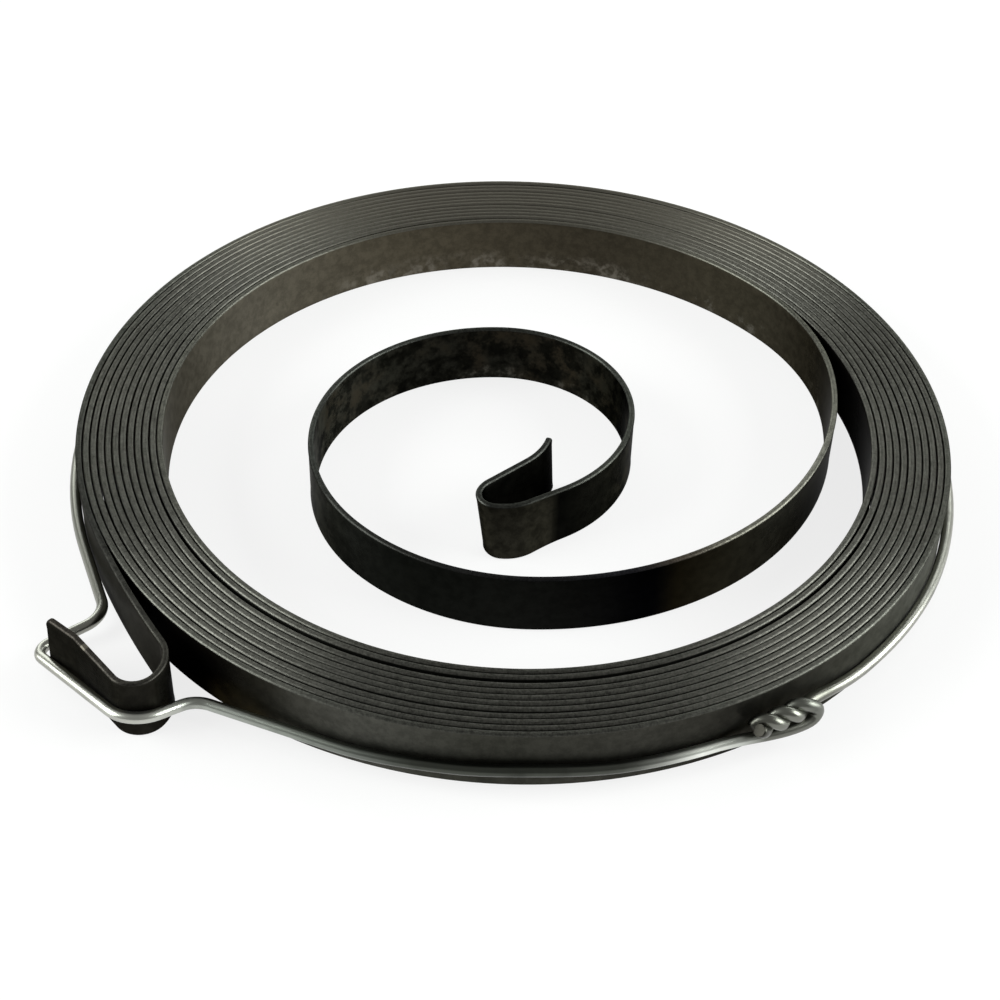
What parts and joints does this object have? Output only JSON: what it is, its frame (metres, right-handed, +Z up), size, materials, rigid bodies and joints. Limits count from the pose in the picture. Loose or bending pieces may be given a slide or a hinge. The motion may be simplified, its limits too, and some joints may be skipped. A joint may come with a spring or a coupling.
{
  "type": "recoil starter spring",
  "caption": "Flat steel coil spring for a recoil starter, wound on edge, with a hooked outer end and a loose hooked inner end, held wound by a soft steel wire twisted round it.",
  "frame": {"origin": "middle of the coil, on the plane the coil lies on", "axes": "+Z up out of the coil's face, -Y towards the front, the outer hook at the front left and -X through the start of the outermost turn"},
  "size_m": [0.0824, 0.0821, 0.006],
  "materials": {
    "spring_steel": "dark oil-tempered strip with brighter rolled edges",
    "tie_wire": "bright drawn soft wire"
  },
  "bodies": {
    "root": {"spring_strip": "spring_steel", "retaining_wire": "tie_wire"}
  },
  "joints": []
}
